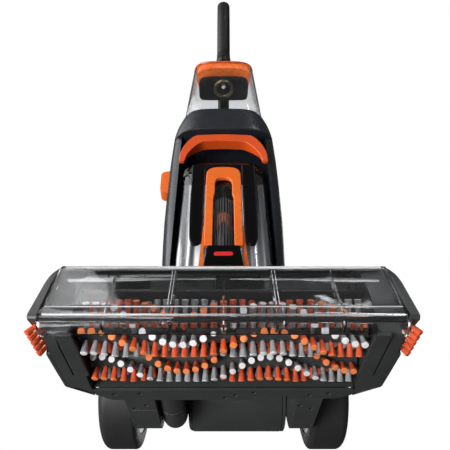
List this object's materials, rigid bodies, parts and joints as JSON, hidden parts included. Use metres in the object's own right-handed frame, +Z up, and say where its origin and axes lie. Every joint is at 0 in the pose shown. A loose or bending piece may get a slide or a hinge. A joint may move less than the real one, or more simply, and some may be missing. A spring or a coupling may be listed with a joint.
{
  "type": "carpet cleaner machine",
  "caption": "Upright carpet washer with a wide clear nozzle, wavy bristle rolls, a reclining body, lift-out clear tanks, rear wheels and a loop handle.",
  "frame": {"origin": "bottom centre of the bounding box, on the floor the machine stands on", "axes": "+Z up, -Y the way the nozzle faces, +X to the right seen from the front"},
  "size_m": [0.32, 0.36, 1.1209],
  "materials": {
    "charcoal_plastic": "fine satin texture",
    "gloss_black": "high gloss",
    "black_plastic": "satin",
    "grip_rubber": "soft matte",
    "orange_plastic": "semi gloss",
    "clear_plastic": "clear, polished",
    "grey_plastic": "satin",
    "tyre_rubber": "matte",
    "belt_rubber": "matte, ribbed",
    "brush_bristle": "nylon filaments",
    "edge_bristle": "nylon filaments",
    "steel": "zinc plated",
    "brass": "satin"
  },
  "bodies": {
    "base": {"brush_chamber": "charcoal_plastic", "top_cover": "charcoal_plastic", "nozzle_window": "clear_plastic", "nozzle_inner_wall": "clear_plastic", "bottom_plate": "charcoal_plastic", "end_housing_left": "charcoal_plastic", "end_housing_right": "charcoal_plastic", "side_cover_left": "charcoal_plastic", "side_cover_right": "charcoal_plastic", "edge_brush_left": "edge_bristle", "edge_brush_right": "edge_bristle", "bearing_plate_left": "steel", "bearing_plate_right": "steel", "drive_belt": "belt_rubber", "brush_motor": "steel", "water_heater": "grey_plastic", "spray_bar": "grey_plastic", "axle_arm_left": "charcoal_plastic", "axle_arm_right": "charcoal_plastic", "axle_left": "steel", "axle_right": "steel", "suction_duct": "charcoal_plastic"},
    "recline_pedal": {"recline_pedal": "orange_plastic"},
    "front_roll": {"front_brush_roll": "brush_bristle"},
    "rear_roll": {"rear_brush_roll": "brush_bristle"},
    "motor_drive": {"motor_pulley": "steel"},
    "wheel_left": {"tyre_left": "tyre_rubber", "hub_left": "charcoal_plastic"},
    "wheel_right": {"tyre_right": "tyre_rubber", "hub_right": "charcoal_plastic"},
    "upright": {"front_frame": "charcoal_plastic", "rear_shell": "charcoal_plastic", "motor_barrel": "charcoal_plastic", "barrel_cap_left": "charcoal_plastic", "barrel_cap_right": "charcoal_plastic", "suction_motor": "steel", "lower_housing": "charcoal_plastic", "water_pump": "grey_plastic", "collar": "charcoal_plastic", "lower_pole": "black_plastic", "handle_tube": "black_plastic", "handle_grip": "grip_rubber", "cord_inlet": "black_plastic"},
    "fan": {"fan_impeller": "grey_plastic"},
    "spray_trigger": {"spray_trigger": "orange_plastic"},
    "cord_hook": {"cord_hook": "charcoal_plastic"},
    "side_latch": {"side_latch": "orange_plastic"},
    "power_switch": {"power_switch": "black_plastic"},
    "dirty_tank": {"dirty_tank": "clear_plastic", "tank_lid": "gloss_black", "tank_trim": "orange_plastic", "float_cage": "grey_plastic", "badge_plate": "gloss_black"},
    "tank_float": {"tank_float": "orange_plastic"},
    "tank_handle": {"tank_handle": "orange_plastic"},
    "clean_tank": {"clean_tank": "clear_plastic"},
    "clean_tank_lid": {"clean_tank_lid": "orange_plastic", "lid_insert": "gloss_black", "valve_ring": "brass"}
  },
  "joints": [
    {"name": "recline", "type": "hinge", "parent": "base", "child": "upright", "pos_m": [0, 0.102, 0.078], "axis": [-1, 0, 0], "range_deg": [0, 55]},
    {"name": "left_wheel_spin", "type": "hinge", "parent": "base", "child": "wheel_left", "pos_m": [-0.1315, 0.102, 0.078], "axis": [1, 0, 0], "continuous": true},
    {"name": "right_wheel_spin", "type": "hinge", "parent": "base", "child": "wheel_right", "pos_m": [0.1315, 0.102, 0.078], "axis": [1, 0, 0], "continuous": true},
    {"name": "front_roll_spin", "type": "hinge", "parent": "base", "child": "front_roll", "pos_m": [0, -0.134, 0.025], "axis": [1, 0, 0], "continuous": true},
    {"name": "rear_roll_spin", "type": "hinge", "parent": "base", "child": "rear_roll", "pos_m": [0, -0.0835, 0.025], "axis": [1, 0, 0], "continuous": true},
    {"name": "motor_pulley_spin", "type": "hinge", "parent": "base", "child": "motor_drive", "pos_m": [0, -0.104, 0.078], "axis": [1, 0, 0], "continuous": true},
    {"name": "recline_pedal_press", "type": "hinge", "parent": "base", "child": "recline_pedal", "pos_m": [-0.09, -0.022, 0.084], "axis": [-1, 0, 0], "range_deg": [0, 12], "stiffness_Nm_per_rad": 2},
    {"name": "fan_spin", "type": "hinge", "parent": "upright", "child": "fan", "pos_m": [-0.016, 0.102, 0.078], "axis": [1, 0, 0], "continuous": true},
    {"name": "trigger_squeeze", "type": "hinge", "parent": "upright", "child": "spray_trigger", "pos_m": [0, 0.12035, 0.998], "axis": [1, 0, 0], "range_deg": [0, 4], "stiffness_Nm_per_rad": 0.5},
    {"name": "cord_hook_swivel", "type": "hinge", "parent": "upright", "child": "cord_hook", "pos_m": [0, 0.1442, 0.86], "axis": [0, 1, 0], "range_deg": [0, 180]},
    {"name": "side_latch_press", "type": "slide", "parent": "upright", "child": "side_latch", "axis": [1, 0, 0], "range_m": [0, 0.004], "stiffness_N_per_m": 600},
    {"name": "power_switch_rock", "type": "hinge", "parent": "upright", "child": "power_switch", "pos_m": [0, 0.142, 0.47], "axis": [1, 0, 0], "range_deg": [0, 10]},
    {"name": "dirty_tank_lift", "type": "slide", "parent": "upright", "child": "dirty_tank", "axis": [0, -0.9397, 0.342], "range_m": [0, 0.15]},
    {"name": "tank_handle_tilt", "type": "hinge", "parent": "dirty_tank", "child": "tank_handle", "pos_m": [0, 0.01763, 0.409], "axis": [1, 0, 0], "range_deg": [0, 30], "stiffness_Nm_per_rad": 0.6},
    {"name": "tank_float_rise", "type": "slide", "parent": "dirty_tank", "child": "tank_float", "axis": [0, 0, 1], "range_m": [0, 0.06]},
    {"name": "clean_tank_lift", "type": "slide", "parent": "upright", "child": "clean_tank", "axis": [0, 0.0698, 0.9976], "range_m": [0, 0.1]},
    {"name": "clean_tank_lid_lift", "type": "slide", "parent": "clean_tank", "child": "clean_tank_lid", "axis": [0, 0.0698, 0.9976], "range_m": [0, 0.06]}
  ],
  "couplings": [
    {"joint": "rear_roll_spin", "follows": "front_roll_spin", "ratio": 1},
    {"joint": "motor_pulley_spin", "follows": "front_roll_spin", "ratio": 1.5714}
  ]
}
